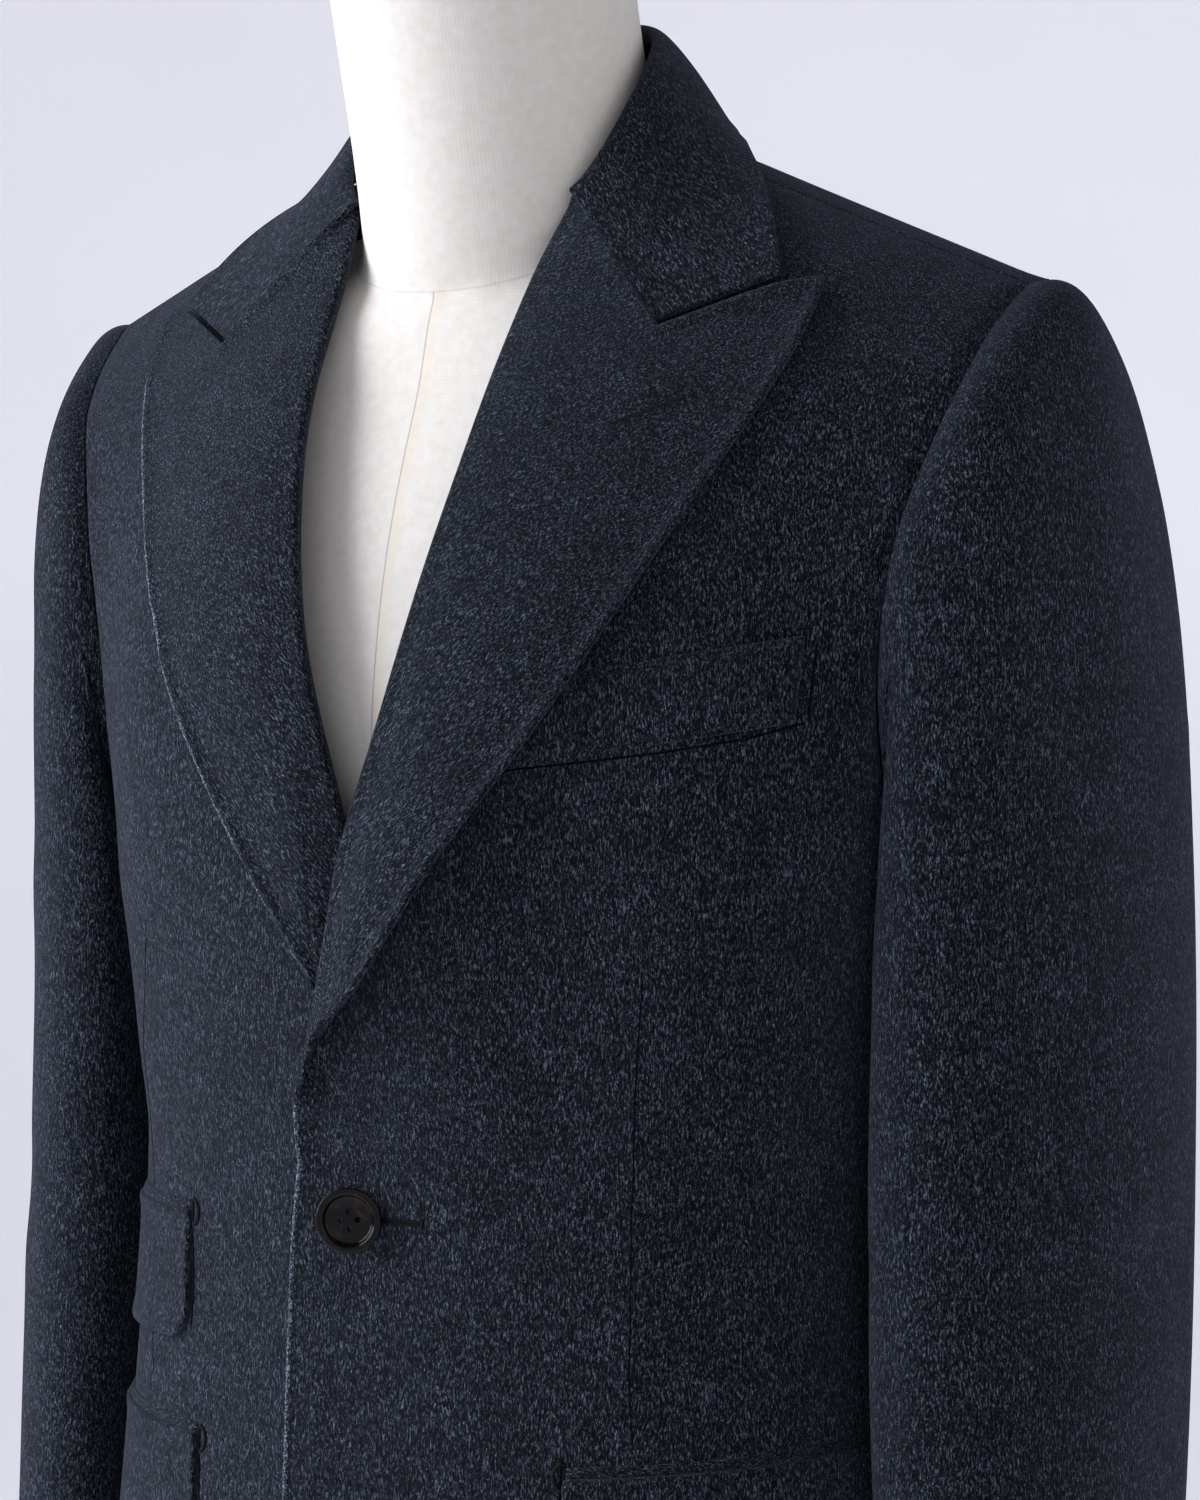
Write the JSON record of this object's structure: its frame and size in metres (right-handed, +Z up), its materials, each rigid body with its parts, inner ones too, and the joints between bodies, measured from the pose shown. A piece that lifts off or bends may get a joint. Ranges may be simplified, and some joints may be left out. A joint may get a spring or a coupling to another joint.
{
  "type": "single-breasted overcoat on a dress form",
  "caption": "Single-breasted overcoat with peak lapels, welt and flap pockets, filled out on a limbless dress form on a round stand.",
  "frame": {"origin": "middle of the stand base's underside, on the floor", "axes": "+Z up, -Y the way the coat's front faces, +X the wearer's left"},
  "size_m": [0.5392, 0.38, 1.602],
  "materials": {
    "melton": "soft napped wool",
    "linen": "plain linen",
    "horn": "polished horn",
    "steel": "satin steel"
  },
  "bodies": {
    "root": {"front_left": "melton", "front_right": "melton", "back_left": "melton", "back_right": "melton", "lapel_left": "melton", "lapel_right": "melton", "collar": "melton", "sleeve_top_left": "melton", "sleeve_top_right": "melton", "sleeve_under_left": "melton", "sleeve_under_right": "melton", "breast_welt_left": "melton", "hip_left_jet": "melton", "hip_left_flap": "melton", "hip_right_jet": "melton", "hip_right_flap": "melton", "ticket_right_jet": "melton", "ticket_right_flap": "melton", "button_1": "horn", "button_2": "horn", "button_3": "horn", "form_torso": "linen", "form_neck": "linen", "stand_pole": "steel", "stand_base": "steel"}
  },
  "joints": []
}
